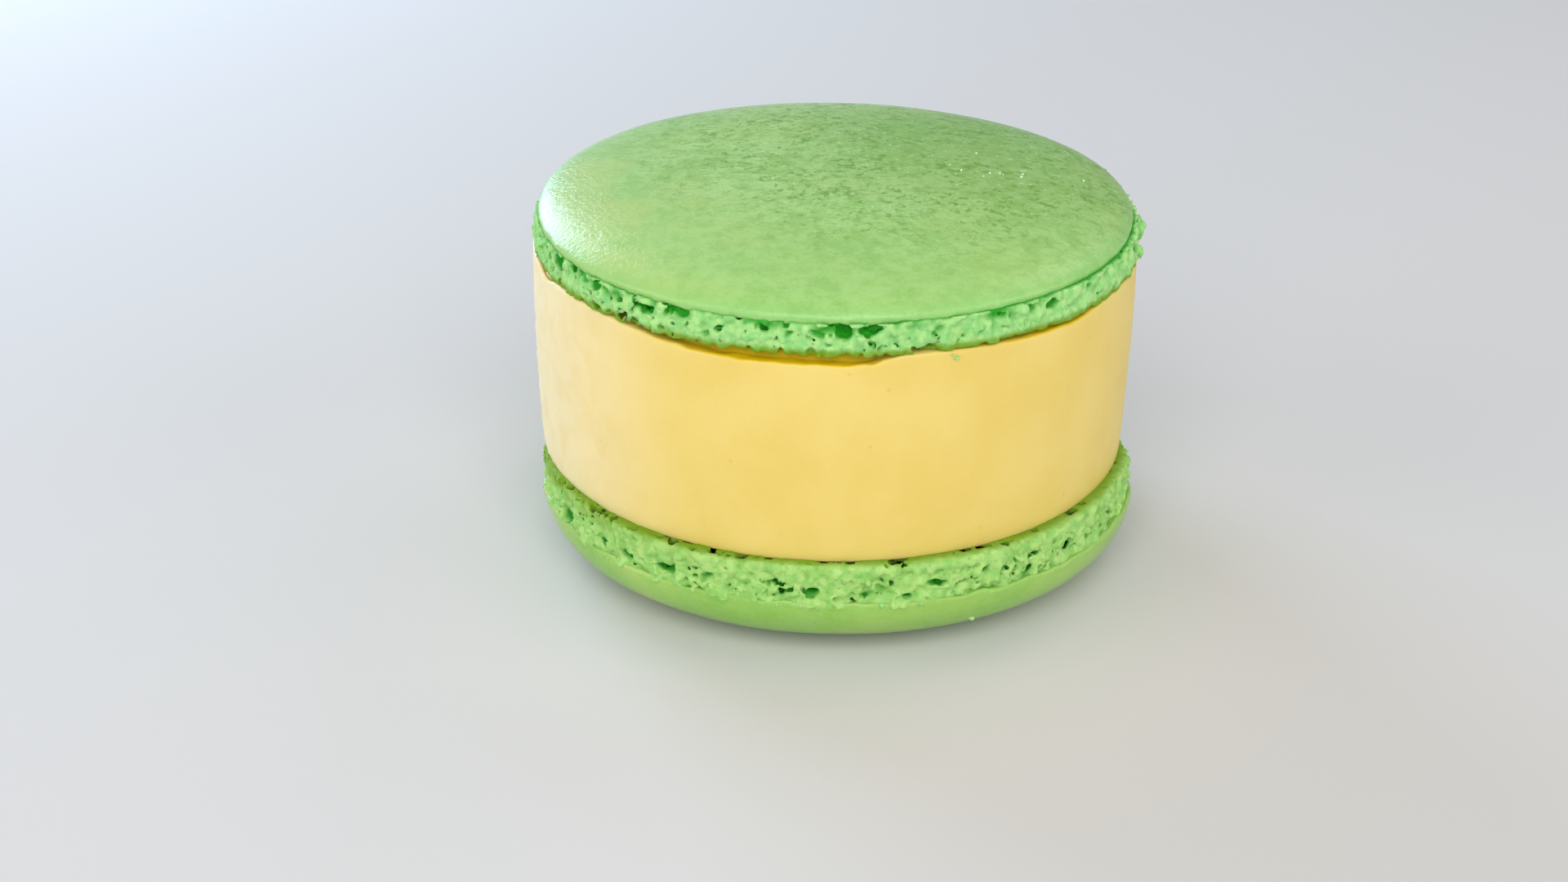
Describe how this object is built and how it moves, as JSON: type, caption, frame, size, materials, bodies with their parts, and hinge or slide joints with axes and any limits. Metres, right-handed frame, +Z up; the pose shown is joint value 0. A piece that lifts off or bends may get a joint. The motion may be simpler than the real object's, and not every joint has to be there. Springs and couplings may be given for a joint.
{
  "type": "ice cream macaron",
  "caption": "Two round green macaron shells with ruffled feet holding a thick disc of yellow ice cream, resting on the lower shell's domed side.",
  "frame": {"origin": "centre of the flat spot on the lower shell's dome, on the surface that the macaron stands on", "axes": "+Z up through the layers, -Y towards the front, +X to the right"},
  "size_m": [0.0715, 0.0714, 0.0444],
  "materials": {
    "macaron_shell": null,
    "ice_cream": null
  },
  "bodies": {
    "root": {"shell_bottom": "macaron_shell", "ice_cream": "ice_cream", "shell_top": "macaron_shell"}
  },
  "joints": []
}
